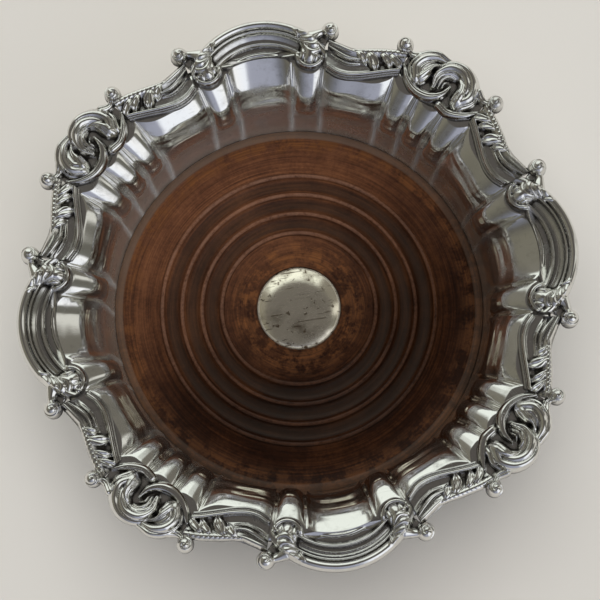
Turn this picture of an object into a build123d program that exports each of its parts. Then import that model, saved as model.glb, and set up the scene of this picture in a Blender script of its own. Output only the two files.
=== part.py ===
"""A wine bottle coaster: a turned wood base held in a fluted plated wall with a scrolled rim."""

import os
from math import cos, hypot, radians, sin

from build123d import *

# Underside
baize_thickness = 1.2
baize_margin = 0.8
sheet = 1.0
flange_width = 8.2

# Turned wood base
wood_radius = 62.0
wood_thickness = 9.0
wood_clearance = 0.1
ring_count = 4
first_ring_radius = 26.0
ring_pitch = 6.7
ring_width = 1.8
ring_height = 0.7
cove_depth = 1.2
band_dish = 0.9
edge_bead_width = 3.0
edge_bead_height = 0.6
edge_step = 0.3
plug_clearance = 0.2

# Centre boss and its fixing
boss_radius = 14.1
boss_edge = 1.4
boss_dome = 1.6
boss_seat_depth = 1.8
boss_clearance = 0.15
stem_radius = 2.0
stem_clearance = 0.1
stem_tail = 0.3
washer_radius = 5.2
washer_thickness = 0.8
nut_width = 7.0
nut_height = 1.8
pocket_clearance = 0.8
pocket_spare = 0.6

# Nails through the flange
nail_count = 8
nail_head_radius = 1.6
nail_head_depth = 0.8
nail_radius = 0.7
nail_length = 6.0

# Fluted wall
wall_height = 43.0
arch_flute_angle = 7.8
scroll_flute_angle = 16.5
rosette_flute_angle = 11.5
middle_flute_angle = 3.8
arch_ridge_step = 3.5
middle_ridge_step = 1.0
flute_lip_depth = 3.2
flute_depth = 2.6
panel_depth = 0.5
flare_thickening = 0.8
flare_heights = (0.0, 0.08, 0.22, 0.44, 0.58, 0.67, 0.755, 0.843, 0.902, 0.958, 1.0)
flare_shares = (0.0, 0.001, 0.003, 0.013, 0.05, 0.138, 0.302, 0.478, 0.635, 0.818, 1.0)
flute_shares = (0.03, 0.03, 0.11, 0.52, 0.80, 0.75, 0.57, 0.35, 0.20, 0.08, 0.03)
foot_wire_width = 1.5
foot_wire_height = 3.0
foot_wire_gap = 0.14

# Rim sections
web = 1.2
lip_step = 0.6
seat_inset = 1.6
arch_sector = 16.75
rosette_sector = 10.2

# Reeded arch: reeds and threads are (distance in from the outer edge, height of the centre, radius)
arch_reach = 89.5
arch_radius = 26.8
arch_width = 12.0
arch_half_angle = 33.0
arch_web_inset = 19.0
arch_reeds = ((1.7, 1.9, 1.7), (4.3, 2.6, 1.6))
arch_threads = ((8.5, 1.8, 1.0), (11.4, 0.9, 0.8))
scroll_height = 2.0
scroll_lobes = ((21.3, 12.6, 2.8), (18.5, 15.3, 3.3), (15.5, 17.6, 3.6), (12.3, 18.2, 3.6), (9.3, 17.7, 3.5))
bud_height = 3.0
arch_bud_radius = 2.9
arch_bud_inset = 4.0
arch_bud_angle = 16.9
bud_stem_radius = 1.7
arch_stem_root = (18.6, 19.0)

# Leaf scroll: how far in its inner edge lies at the arch and at the rosette, and its widths
leaf_arch_inset = 16.9
leaf_arch_width = 9.4
leaf_middle_radius = 70.4
leaf_middle_width = 11.1
leaf_middle_angle = 24.5
leaf_rosette_inset = 5.1
leaf_rosette_width = 7.8
leaf_thread_radius = 1.0
petal_count = 5
petal_first_share = 0.46
petal_share_step = 0.125
petal_share_lean = 0.19
petal_root_inset = 5.0
petal_tip_inset = 1.2
petal_radius = 1.6
petal_tip_radius = 0.5
leaf_stem_root_angle = 17.4
leaf_stem_tip_angle = 24.0
leaf_stem_root_radius = 0.7

# Stems of the leaf: distances in from its outer edge at the root and at the tip, and the radius at the tip
leaf_stems = ((1.6, 2.1, 1.2), (2.8, 4.2, 1.0))

# Shell rosette, in distances out from its centre and to its left
rosette_reach = 81.5
rosette_web_radius = 8.2
rosette_web_inset = 6.3
rosette_web_outset = 1.5
shell_height = 2.2
shell_radius = 3.1
front_shell = ((-2.0, 1.0), (5.8, -3.5), (-1.5, -8.2))
rear_shell = ((5.6, 3.6), (1.9, 8.7), (-2.3, 6.3))
shell_cap = 0.15
thread_radius = 1.25
left_thread = ((-2.2, 14.0), (-6.9, 6.0), (-3.0, -1.6))
right_thread = ((-6.3, -3.2), (-6.9, -8.0), (-3.0, -14.0))
rosette_bud_radius = 2.7
rosette_bud_outset = 5.8
rosette_bud_angle = 11.52
rosette_stem_root = (3.0, 10.6)

# Levels and radii that follow
wood_bottom = baize_thickness
flange_top = baize_thickness + sheet
ring_top = wood_bottom + wood_thickness
ring_foot = ring_top - ring_height
wall_radius = wood_radius + wood_clearance
flange_radius = wall_radius - flange_width
nail_circle = flange_radius + flange_width / 2
boss_seat = ring_top - boss_seat_depth
pocket_depth = washer_thickness + nut_height + pocket_spare
pocket_top = wood_bottom + pocket_depth
lip = wall_height
arch_centre = arch_reach - arch_radius
arch_bud_reach = arch_reach - arch_bud_inset
leaf_inner = (arch_reach - leaf_arch_inset, leaf_middle_radius, rosette_reach - leaf_rosette_inset)
leaf_widths = (leaf_arch_width, leaf_middle_width, leaf_rosette_width)
leaf_outer = [radius + width for radius, width in zip(leaf_inner, leaf_widths)]
rosette_web_inner = rosette_reach - rosette_web_inset
rosette_bud_reach = rosette_reach + rosette_bud_outset
quarter = 90.0
reach = 2 * arch_reach


def polar(radius, angle):
    """A plan point at a radius and an angle from the +X axis."""
    return (radius * cos(radians(angle)), radius * sin(radians(angle)))


def upright_plane(point, heading, height):
    """A vertical plane through a plan point: its X runs along the heading and its Y points up."""
    x, y = heading
    return Plane(origin=(*point, height), x_dir=(x, y, 0), z_dir=(y, -x, 0))


def inward(point, distance):
    """The plan point that lies a distance nearer the Z axis than a point."""
    share = 1 - distance / hypot(point.X, point.Y)
    return (point.X * share, point.Y * share)


def rosette_point(out, left):
    """A plan point of the rosette that lies on the +X axis."""
    return (rosette_reach + out, left)


os.makedirs("parts", exist_ok=True)


# Green baize glued under the base
with BuildPart() as baize_pad:
    with BuildSketch():
        Circle(wall_radius + sheet - baize_margin)
    extrude(amount=baize_thickness)

baize_pad.part.label = "baize_pad"
export_step(baize_pad.part, "parts/baize_pad.step")


# Turned base: raised rings and coves on top, a plug below that the wall's flange lies around
with BuildPart() as turned_base:
    with BuildSketch(Plane.XZ):
        with BuildLine():
            half_ring = ring_width / 2
            edge_foot = wood_radius - edge_bead_width
            edge_top = ring_foot + edge_bead_height
            Line((0, wood_bottom), (0, ring_foot))
            Line((0, ring_foot), (first_ring_radius - half_ring, ring_foot))
            for i in range(ring_count):
                middle = first_ring_radius + i * ring_pitch
                start = (middle - half_ring, ring_foot)
                end = (middle + half_ring, ring_foot)
                ThreePointArc(start, (middle, ring_top), end)
                if i < ring_count - 1:
                    cove = (middle + ring_pitch / 2, ring_foot - cove_depth)
                    ThreePointArc(end, cove, (middle + ring_pitch - half_ring, ring_foot))
            dish = ((end[0] + edge_foot) / 2, ring_foot - band_dish)
            ThreePointArc(end, dish, (edge_foot, ring_foot))
            bead = (wood_radius - edge_bead_width / 2, edge_top)
            edge = (wood_radius, ring_foot + edge_step)
            ThreePointArc((edge_foot, ring_foot), bead, edge)
            Line(edge, (wood_radius, flange_top))
            plug = flange_radius - plug_clearance
            Polyline((wood_radius, flange_top), (plug, flange_top), (plug, wood_bottom), (0, wood_bottom))
        make_face()
    revolve(axis=Axis.Z)
    with BuildSketch(Plane.XY.offset(boss_seat)):
        Circle(boss_radius + boss_clearance)
    extrude(amount=ring_top - boss_seat, mode=Mode.SUBTRACT)
    with BuildSketch(Plane.XY.offset(wood_bottom)):
        Circle(stem_radius + stem_clearance)
    extrude(amount=wood_thickness, mode=Mode.SUBTRACT)
    with BuildSketch(Plane.XY.offset(wood_bottom)):
        Circle(washer_radius + pocket_clearance)
    extrude(amount=pocket_depth, mode=Mode.SUBTRACT)
    with BuildSketch(Plane.XY.offset(flange_top)):
        with PolarLocations(nail_circle, nail_count):
            Circle(nail_radius)
    extrude(amount=nail_length - sheet, mode=Mode.SUBTRACT)

turned_base.part.label = "turned_base"
export_step(turned_base.part, "parts/turned_base.step")


# Domed boss, let into the middle of the base
dome_radius = (boss_radius**2 + boss_dome**2) / (2 * boss_dome)
with BuildPart() as centre_boss:
    with BuildSketch(Plane.XY.offset(boss_seat)):
        Circle(boss_radius)
    extrude(amount=boss_edge + boss_dome)
    with Locations((0, 0, boss_seat + boss_edge + boss_dome - dome_radius)):
        Sphere(dome_radius, mode=Mode.INTERSECT)

centre_boss.part.label = "centre_boss"
export_step(centre_boss.part, "parts/centre_boss.step")


# Stud soldered under the boss, and the washer and nut that draw it down
with BuildPart() as boss_stem:
    with BuildSketch(Plane.XY.offset(boss_seat)):
        Circle(stem_radius)
    stem_end = pocket_top - washer_thickness - nut_height - stem_tail
    extrude(amount=stem_end - boss_seat)

boss_stem.part.label = "boss_stem"
export_step(boss_stem.part, "parts/boss_stem.step")

with BuildPart() as stem_washer:
    with BuildSketch(Plane.XY.offset(pocket_top)):
        Circle(washer_radius)
        Circle(stem_radius + stem_clearance, mode=Mode.SUBTRACT)
    extrude(amount=-washer_thickness)

stem_washer.part.label = "stem_washer"
export_step(stem_washer.part, "parts/stem_washer.step")

with BuildPart() as stem_nut:
    with BuildSketch(Plane.XY.offset(pocket_top - washer_thickness)):
        RegularPolygon(nut_width / 2, 6, major_radius=False)
        Circle(stem_radius, mode=Mode.SUBTRACT)
    extrude(amount=-nut_height)

stem_nut.part.label = "stem_nut"
export_step(stem_nut.part, "parts/stem_nut.step")


# Lip line of the wall in one quarter: ridges as (angle, radius), and the flutes after them as (radius, depth)
arch_lip = arch_reach - arch_width + lip_step
arch_ridge = arch_lip - arch_ridge_step
scroll_ridge = leaf_inner[0] + lip_step
leaf_lip = leaf_inner[1] + lip_step
rosette_ridge = leaf_inner[2] - lip_step
middle_ridge = rosette_web_inner - middle_ridge_step
scroll_lip = (arch_ridge + scroll_ridge) / 2 + flute_lip_depth
side_lip = (rosette_ridge + middle_ridge) / 2 + flute_lip_depth
middle_lip = middle_ridge + flute_lip_depth
widest_lip = max(arch_lip, scroll_lip, side_lip, middle_lip)
half_quarter = quarter / 2
half_ridges = (
    (arch_flute_angle, arch_ridge),
    (scroll_flute_angle, scroll_ridge),
    (half_quarter - rosette_flute_angle, rosette_ridge),
    (half_quarter - middle_flute_angle, middle_ridge),
)
half_flutes = ((scroll_lip, flute_depth), (leaf_lip, panel_depth), (side_lip, flute_depth))
quarter_ridges = half_ridges + tuple((quarter - angle, radius) for angle, radius in half_ridges[::-1])
middle_flute = (middle_lip, flute_depth)
arch_flute = (arch_lip, panel_depth)
quarter_flutes = half_flutes + (middle_flute,) + half_flutes[::-1] + (arch_flute,)
ridges = [(angle + quarter * k, radius) for k in range(4) for angle, radius in quarter_ridges]
flutes = quarter_flutes * 4


def read_off(place, places, values):
    """The value at a place between the places of a table."""
    last = len(places) - 1
    i = 1
    while i < last and place > places[i]:
        i += 1
    share = max(0, (place - places[i - 1]) / (places[i] - places[i - 1]))
    return values[i - 1] + (values[i] - values[i - 1]) * share


def flare_radius(height, lip_radius):
    """Inner radius of the wall at a share of its height: a narrower lip starts to flare higher up."""
    flare = widest_lip - wall_radius
    drop = 1 - read_off((lip_radius - wall_radius) / flare, flare_shares, flare_heights)
    return wall_radius + flare * read_off(height - drop, flare_heights, flare_shares)


def wall_sections(bottom, thickness):
    """Closed fluted outlines of the wall from its foot to its lip, as (height, points) pairs."""
    sections = []
    for height, share, swell in zip(flare_heights, flare_shares, flute_shares):
        outset = thickness * (1 + flare_thickening * share)
        points = []
        for i, (angle, radius) in enumerate(ridges):
            after = ridges[(i + 1) % len(ridges)][0] + (360 if i == len(ridges) - 1 else 0)
            flute_lip, depth = flutes[i]
            ridge = flare_radius(height, radius) + outset
            flute = flare_radius(height, flute_lip) + depth * swell + outset
            points.append((polar(ridge, angle), polar(flute, (angle + after) / 2)))
        sections.append((bottom + (lip - bottom) * height, points))
    return sections


# Fluted wall: one sheet from the flange under the wood to the flat lip under the rim sections
with BuildPart() as fluted_wall:
    for height, points in wall_sections(baize_thickness, sheet):
        with BuildSketch(Plane.XY.offset(height)):
            with BuildLine():
                for i, (ridge, flute) in enumerate(points):
                    ThreePointArc(ridge, flute, points[(i + 1) % len(points)][0])
            make_face()
    loft()
    with BuildSketch(Plane.XY.offset(lip)):
        Circle(leaf_outer[1] - seat_inset)
        with PolarLocations(arch_centre, 4):
            Circle(arch_radius - seat_inset)
        with PolarLocations(rosette_reach, 4, start_angle=half_quarter):
            Circle(rosette_web_radius - seat_inset)
    extrude(amount=-sheet)
    for height, points in wall_sections(flange_top, 0):
        with BuildSketch(Plane.XY.offset(height)):
            with BuildLine():
                for i, (ridge, flute) in enumerate(points):
                    ThreePointArc(ridge, flute, points[(i + 1) % len(points)][0])
            make_face()
    loft(mode=Mode.SUBTRACT)
    with BuildSketch(Plane.XY.offset(baize_thickness)):
        Circle(flange_radius)
    extrude(amount=sheet, mode=Mode.SUBTRACT)
    with BuildSketch(Plane.XY.offset(baize_thickness)):
        with PolarLocations(nail_circle, nail_count):
            Circle(nail_radius)
    extrude(amount=sheet, mode=Mode.SUBTRACT)
    with Locations((0, 0, baize_thickness + nail_head_depth / 2)):
        with PolarLocations(nail_circle, nail_count):
            Cone(nail_head_radius, nail_radius, nail_head_depth, mode=Mode.SUBTRACT)

fluted_wall.part.label = "fluted_wall"
export_step(fluted_wall.part, "parts/fluted_wall.step")


# Nails up through the flange into the wood
with BuildPart() as wall_nails:
    with Locations((0, 0, baize_thickness + nail_head_depth / 2)):
        with PolarLocations(nail_circle, nail_count):
            Cone(nail_head_radius, nail_radius, nail_head_depth)
    with BuildSketch(Plane.XY.offset(baize_thickness + nail_head_depth)):
        with PolarLocations(nail_circle, nail_count):
            Circle(nail_radius)
    extrude(amount=nail_length - nail_head_depth)

wall_nails.part.label = "wall_nails"
export_step(wall_nails.part, "parts/wall_nails.step")


# Half-round wire round the foot of the wall
with BuildPart() as foot_wire:
    with BuildSketch(Plane.XZ):
        with BuildLine():
            wire_back = wall_radius + sheet + foot_wire_gap
            low = (wire_back, baize_thickness)
            high = (wire_back, baize_thickness + foot_wire_height)
            ThreePointArc(low, (wire_back + foot_wire_width, (low[1] + high[1]) / 2), high)
            Line(high, low)
        make_face()
    revolve(axis=Axis.Z)

foot_wire.part.label = "foot_wire"
export_step(foot_wire.part, "parts/foot_wire.step")


# Reeded arch of the rim, on the +X axis: reeds, a leaf-wrapped scroll at each end, and two buds
with BuildPart() as arch_pattern:
    with BuildSketch(Plane.XY.offset(lip)):
        with Locations((arch_centre, 0)):
            Circle(arch_radius - seat_inset / 2)
        with Locations((arch_centre - arch_width, 0)):
            Circle(arch_radius, mode=Mode.SUBTRACT)
        Circle(arch_reach - arch_web_inset, mode=Mode.SUBTRACT)
    extrude(amount=web)
    with BuildSketch(upright_plane((arch_centre, 0), polar(1, -arch_half_angle), lip)):
        for inset, height, radius in arch_reeds:
            with Locations((arch_radius - inset, height)):
                Circle(radius)
    revolve(axis=Axis((arch_centre, 0, 0), (0, 0, 1)), revolution_arc=2 * arch_half_angle)
    for inset, height, radius in arch_threads:
        with BuildSketch(upright_plane((arch_centre - inset, 0), polar(1, -arch_half_angle), lip)):
            with Locations((arch_radius, height)):
                Circle(radius)
        revolve(axis=Axis((arch_centre - inset, 0, 0), (0, 0, 1)), revolution_arc=2 * arch_half_angle)
    for side in (-1, 1):
        for ahead, aside, radius in scroll_lobes:
            with Locations((arch_centre + ahead, side * aside, lip + scroll_height)):
                Sphere(radius)
    with BuildSketch(Plane.XY.offset(lip)):
        with BuildLine():
            Polyline((0, 0), polar(reach, arch_sector), polar(reach, -arch_sector), close=True)
        make_face()
    extrude(amount=wall_height, mode=Mode.INTERSECT)
    for side in (-1, 1):
        bud = polar(arch_bud_reach, side * arch_bud_angle)
        with Locations((*bud, lip + bud_height)):
            Sphere(arch_bud_radius)
        root = (arch_centre + arch_stem_root[0], side * arch_stem_root[1])
        heading = (bud[0] - root[0], bud[1] - root[1])
        with BuildSketch(Plane((*root, lip + scroll_height), x_dir=(0, 0, 1), z_dir=(*heading, 0))):
            Circle(bud_stem_radius)
        extrude(amount=hypot(*heading))

for k in range(4):
    with BuildPart() as arch_mount:
        add(arch_pattern.part.rotate(Axis.Z, quarter * k))
    arch_mount.part.label = f"arch_mount_{k + 1}"
    export_step(arch_mount.part, f"parts/arch_mount_{k + 1}.step")


# Leaf scroll between an arch and a rosette: a thread, a tapered stem and leaning petals on a web
leaf_start = arch_sector
leaf_end = half_quarter - rosette_sector
leaf_angles = (leaf_start, leaf_middle_angle, leaf_end)
inner = [polar(radius, angle) for radius, angle in zip(leaf_inner, leaf_angles)]
outer = [polar(radius, angle) for radius, angle in zip(leaf_outer, leaf_angles)]
thread = [polar(radius + leaf_thread_radius, angle) for radius, angle in zip(leaf_inner, leaf_angles)]
with BuildLine() as leaf_edge:
    ThreePointArc(*outer)

with BuildPart() as leaf_pattern:
    with BuildSketch(Plane.XY.offset(lip)):
        with BuildLine():
            ThreePointArc(*inner)
            Line(inner[2], outer[2])
            ThreePointArc(*outer[::-1])
            Line(outer[0], inner[0])
        make_face()
    extrude(amount=web)
    with BuildLine(Plane.XY.offset(lip + web)) as thread_path:
        ThreePointArc(*thread)
    with BuildSketch(Plane(thread_path.line @ 0, z_dir=thread_path.line % 0)):
        Circle(leaf_thread_radius)
    sweep()
    for i in range(petal_count):
        share = petal_first_share + i * petal_share_step
        root = inward(leaf_edge.line @ share, petal_root_inset)
        tip = inward(leaf_edge.line @ (share - petal_share_lean), petal_tip_inset)
        heading = (tip[0] - root[0], tip[1] - root[1])
        length = hypot(*heading)
        with BuildSketch(upright_plane(root, heading, lip + web)):
            with BuildLine():
                ThreePointArc((-petal_radius, 0), polar(petal_radius, 135), (0, petal_radius))
                Polyline((0, petal_radius), (length, petal_tip_radius), (length, 0), (-petal_radius, 0))
            make_face()
        revolve(axis=Axis((*root, lip + web), (*heading, 0)))
    for root_inset, tip_inset, tip_radius in leaf_stems:
        root = polar(leaf_outer[0] - root_inset, leaf_stem_root_angle)
        tip = polar(leaf_outer[1] - tip_inset, leaf_stem_tip_angle)
        heading = (tip[0] - root[0], tip[1] - root[1])
        length = hypot(*heading)
        with BuildSketch(upright_plane(root, heading, lip + web)):
            with BuildLine():
                Polyline((0, 0), (0, leaf_stem_root_radius), (length, tip_radius), (length, 0), close=True)
            make_face()
        revolve(axis=Axis((*root, lip + web), (*heading, 0)))
    with BuildSketch(Plane.XY.offset(lip)):
        with BuildLine():
            Polyline((0, 0), polar(reach, leaf_start), polar(reach, leaf_end), close=True)
        make_face()
    extrude(amount=wall_height, mode=Mode.INTERSECT)

for k in range(8):
    with BuildPart() as leaf_mount:
        add(leaf_pattern.part if k % 2 == 0 else leaf_pattern.part.mirror(Plane.XZ).rotate(Axis.Z, quarter))
    leaf_mount.part = leaf_mount.part.rotate(Axis.Z, quarter * (k // 2))
    leaf_mount.part.label = f"leaf_mount_{k + 1}"
    export_step(leaf_mount.part, f"parts/leaf_mount_{k + 1}.step")


# Shell rosette, modelled on the +X axis: two shells that lap, two threads that hook, and two buds
with BuildPart() as rosette_pattern:
    with BuildSketch(Plane.XY.offset(lip)):
        Circle(rosette_reach + rosette_web_outset)
        Circle(rosette_web_inner, mode=Mode.SUBTRACT)
        with Locations((rosette_reach, 0)):
            Circle(rosette_web_radius)
        Circle(middle_ridge, mode=Mode.SUBTRACT)
    extrude(amount=web)
    for points in (front_shell, rear_shell):
        with BuildLine(Plane.XY.offset(lip + shell_height)) as shell_path:
            ThreePointArc(*(rosette_point(*point) for point in points))
        with BuildSketch(Plane(shell_path.line @ 0, z_dir=shell_path.line % 0)):
            Circle(shell_radius)
        sweep()
        with Locations(shell_path.line @ 0, shell_path.line @ 1):
            Sphere(shell_radius + shell_cap)
    for points in (left_thread, right_thread):
        with BuildLine(Plane.XY.offset(lip + web)) as thread_path:
            ThreePointArc(*(rosette_point(*point) for point in points))
        with BuildSketch(Plane(thread_path.line @ 0, z_dir=thread_path.line % 0)):
            Circle(thread_radius)
        sweep()
    with BuildSketch(Plane.XY.offset(lip)):
        with BuildLine():
            Polyline((0, 0), polar(reach, rosette_sector), polar(reach, -rosette_sector), close=True)
        make_face()
    extrude(amount=wall_height, mode=Mode.INTERSECT)
    for side in (-1, 1):
        bud = polar(rosette_bud_reach, side * rosette_bud_angle)
        with Locations((*bud, lip + bud_height)):
            Sphere(rosette_bud_radius)
        root = rosette_point(rosette_stem_root[0], side * rosette_stem_root[1])
        heading = (bud[0] - root[0], bud[1] - root[1])
        with BuildSketch(Plane((*root, lip + shell_height), x_dir=(0, 0, 1), z_dir=(*heading, 0))):
            Circle(bud_stem_radius)
        extrude(amount=hypot(*heading))

for k in range(4):
    with BuildPart() as rosette_mount:
        add(rosette_pattern.part.rotate(Axis.Z, half_quarter + quarter * k))
    rosette_mount.part.label = f"rosette_mount_{k + 1}"
    export_step(rosette_mount.part, f"parts/rosette_mount_{k + 1}.step")
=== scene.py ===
from functools import partial
from math import cos, pi, radians, sin

import bpy
import numpy as np
from mathutils import Matrix, Vector


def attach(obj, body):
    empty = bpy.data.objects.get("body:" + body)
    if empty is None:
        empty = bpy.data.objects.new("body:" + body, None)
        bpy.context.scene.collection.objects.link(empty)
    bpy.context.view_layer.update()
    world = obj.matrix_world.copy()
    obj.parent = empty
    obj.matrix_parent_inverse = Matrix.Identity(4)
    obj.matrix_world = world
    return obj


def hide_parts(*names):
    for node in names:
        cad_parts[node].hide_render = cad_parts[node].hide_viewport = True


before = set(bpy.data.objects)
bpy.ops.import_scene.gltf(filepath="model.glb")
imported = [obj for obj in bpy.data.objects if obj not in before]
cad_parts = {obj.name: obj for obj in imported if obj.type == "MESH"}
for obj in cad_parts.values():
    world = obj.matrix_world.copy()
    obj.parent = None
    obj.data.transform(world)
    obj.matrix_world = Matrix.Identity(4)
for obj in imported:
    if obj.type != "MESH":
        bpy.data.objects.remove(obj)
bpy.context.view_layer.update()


# Baize pad: a disc of green felt glued under the base, so that the coaster
# slides on a table without scratching it. It is thin, matt and a little
# patchy, with short fibres lying every way.
def new_material(name):
    """An empty node material: its nodes, its links and its Principled shader."""
    material = bpy.data.materials.new(name)
    material.use_nodes = True
    nodes = material.node_tree.nodes
    return material, nodes, material.node_tree.links, nodes["Principled BSDF"]


def object_point(nodes, links, scale=(1, 1, 1), turn=(0, 0, 0)):
    """Object coordinates, scaled and turned, as a vector socket."""
    place = nodes.new("ShaderNodeTexCoord")
    mapping = nodes.new("ShaderNodeMapping")
    mapping.inputs["Scale"].default_value = scale
    mapping.inputs["Rotation"].default_value = turn
    links.new(place.outputs["Object"], mapping.inputs["Vector"])
    return mapping.outputs["Vector"]


def noise(nodes, links, vector, scale, detail=4.0, roughness=0.55):
    """The value of a noise texture on a vector."""
    texture = nodes.new("ShaderNodeTexNoise")
    texture.inputs["Scale"].default_value = scale
    texture.inputs["Detail"].default_value = detail
    texture.inputs["Roughness"].default_value = roughness
    links.new(vector, texture.inputs["Vector"])
    return texture.outputs["Fac"]


def calculate(nodes, links, operation, *values):
    """A math node on sockets and plain numbers."""
    node = nodes.new("ShaderNodeMath")
    node.operation = operation
    for socket, value in zip(node.inputs, values):
        if isinstance(value, (int, float)):
            socket.default_value = value
        else:
            links.new(value, socket)
    return node.outputs[0]


def ramp(nodes, links, value, stops):
    """A colour ramp on a value; its stops are (place, colour) pairs."""
    node = nodes.new("ShaderNodeValToRGB")
    elements = node.color_ramp.elements
    while len(elements) < len(stops):
        elements.new(0.5)
    for element, (place, colour) in zip(elements, stops):
        element.position = place
        element.color = (*colour, 1)
    links.new(value, node.inputs["Fac"])
    return node.outputs["Color"]


def bump(nodes, links, height, shader, distance, strength=1.0):
    """Raise the shader's surface by a height socket."""
    node = nodes.new("ShaderNodeBump")
    node.inputs["Strength"].default_value = strength
    node.inputs["Distance"].default_value = distance
    links.new(height, node.inputs["Height"])
    links.new(node.outputs["Normal"], shader.inputs["Normal"])


felt_shadow, felt_light = (0.012, 0.045, 0.022), (0.045, 0.13, 0.065)
baize, nodes, links, shader = new_material("green_baize")
fibres = noise(nodes, links, object_point(nodes, links), 2600, 6, 0.7)
patches = noise(nodes, links, object_point(nodes, links), 90, 3)
nap = calculate(nodes, links, "MULTIPLY_ADD", fibres, 0.6, patches)
links.new(ramp(nodes, links, nap, ((0.45, felt_shadow), (0.95, felt_light))), shader.inputs["Base Color"])
bump(nodes, links, fibres, shader, 0.0002, 0.8)
shader.inputs["Roughness"].default_value = 0.95
shader.inputs["Sheen Weight"].default_value = 0.25
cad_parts["baize_pad"].data.materials[0] = baize


# Turned base: a mahogany disc turned on the lathe, with four narrow rings
# between coves and a raised edge. It is dark with age and darker in the coves,
# rubbed to orange round the boss and inside the edge, pale on the rings' crests,
# partly worn and partly a painted highlight, and grey at the edge. Light is
# painted in as well: the far and left side is painted lighter and the near and
# right side darker, and the rubbing, the pale crests and the grey edge are
# painted stronger on the lit side.
def soft_step(nodes, links, value, low, high):
    """A soft step from 0 at the low value to 1 at the high one."""
    node = nodes.new("ShaderNodeMapRange")
    node.interpolation_type = "SMOOTHSTEP"
    node.inputs["From Min"].default_value = low
    node.inputs["From Max"].default_value = high
    links.new(value, node.inputs["Value"])
    return node.outputs["Result"]


def blend(nodes, links, share, first, second):
    """A colour between two, each a socket or a plain colour."""
    node = nodes.new("ShaderNodeMix")
    node.data_type = "RGBA"
    links.new(share, node.inputs["Factor"])
    for name, colour in (("A", first), ("B", second)):
        if isinstance(colour, tuple):
            node.inputs[name].default_value = (*colour, 1)
        else:
            links.new(colour, node.inputs[name])
    return node.outputs["Result"]


mm = 0.001
ring_top, ring_foot, cove_bottom = 10.2, 9.5, 8.3
first_ring, last_ring, bead_foot = 26.0, 46.1, 59.0
grain_turn = radians(12)
cove_dirt, crest_tan, edge_grey = (0.016, 0.011, 0.008), (0.21, 0.115, 0.078), (0.150, 0.105, 0.078)

mahogany, nodes, links, shader = new_material("mahogany")
calc = partial(calculate, nodes, links)
rise = partial(soft_step, nodes, links)
mix = partial(blend, nodes, links)
spots = partial(noise, nodes, links)
point = partial(object_point, nodes, links)


def fall(value, low, high):
    """A soft step on the wood from 1 at the low value to 0 at the high one."""
    return calc("SUBTRACT", 1, rise(value, low, high))


place = nodes.new("ShaderNodeSeparateXYZ")
links.new(point((1 / mm, 1 / mm, 1 / mm)), place.inputs["Vector"])
x, y, height = (place.outputs[axis] for axis in "XYZ")
radius = calc("SQRT", calc("MULTIPLY_ADD", x, x, calc("MULTIPLY", y, y)))
round_place = nodes.new("ShaderNodeCombineXYZ")
links.new(calc("DIVIDE", x, radius), round_place.inputs["X"])
links.new(calc("DIVIDE", y, radius), round_place.inputs["Y"])
links.new(radius, round_place.inputs["Z"])
tool_lines = spots(round_place.outputs["Vector"], 1.6, 5, 0.65)
blotches = spots(point(), 190, 4, 0.6)
stains = spots(point(), 70, 6, 0.62)
specks = spots(point(), 1100, 4, 0.65)
pores = spots(point((700, 7000, 1500), (0, 0, grain_turn)), 1.0, 3, 0.6)

mottle = calc("MULTIPLY_ADD", specks, 0.2, calc("MULTIPLY", stains, 0.35))
mottle = calc("MULTIPLY_ADD", tool_lines, 0.45, mottle)
# Painted light: a shaded copy and a lit copy of the wood, mixed by side, so the far and left side is painted
# lighter and the near and right side darker.
shaded = ramp(nodes, links, mottle, (
    (0.40, (0.005, 0.0014, 0.0004)), (0.50, (0.013, 0.0036, 0.0009)), (0.62, (0.036, 0.012, 0.0036))))
sunny = ramp(nodes, links, mottle, (
    (0.40, (0.050, 0.0190, 0.0100)), (0.50, (0.105, 0.0410, 0.0195)), (0.62, (0.185, 0.075, 0.0340))))
sun_side = rise(calc("MULTIPLY_ADD", y, 0.9, calc("MULTIPLY", x, -0.3)), -25, 60)
colour = mix(sun_side, shaded, sunny)

# The coves between the rings are darker.
among_rings = calc("MULTIPLY", rise(radius, first_ring - 1, first_ring),
                   fall(radius, last_ring, last_ring + 1))
in_coves = calc("MULTIPLY", fall(height, cove_bottom, ring_foot), among_rings)
colour = mix(calc("MULTIPLY", in_coves, 0.6), colour, cove_dirt)

# Painted light: the orange rubbing, the pale crests and the grey edge are weighted by the painted light side,
# stronger on the far and left side.
edge_sun = calc("MULTIPLY_ADD", sun_side, 0.75, 0.25)
boss_sun = calc("MULTIPLY_ADD", sun_side, 0.6, 0.35)
crest_sun = calc("MULTIPLY_ADD", sun_side, 0.55, 0.1)
rub_chance = rise(calc("MULTIPLY_ADD", specks, 0.25, calc("MULTIPLY", blotches, 0.75)), 0.43, 0.58)
by_edge = calc("MULTIPLY", rise(radius, bead_foot - 6, bead_foot - 1), edge_sun)
by_boss = calc("MULTIPLY", fall(radius, first_ring - 7, first_ring - 1.5), boss_sun)
rubbed = ramp(nodes, links, tool_lines, ((0.35, (0.085, 0.034, 0.014)), (0.65, (0.19, 0.072, 0.022))))
colour = mix(calc("MULTIPLY", calc("MAXIMUM", by_edge, by_boss), rub_chance), colour, rubbed)

# Pale crests on the rings: partly worn wood, partly a painted highlight, brighter on the lit side.
within_rings = fall(radius, last_ring + 2, last_ring + 4)
on_crests = calc("MULTIPLY", rise(height, ring_foot + 0.3, ring_top), within_rings)
on_crests = calc("MULTIPLY", on_crests, rise(calc("ADD", specks, blotches), 0.6, 1.15))
colour = mix(calc("MULTIPLY", on_crests, crest_sun), colour, crest_tan)

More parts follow.
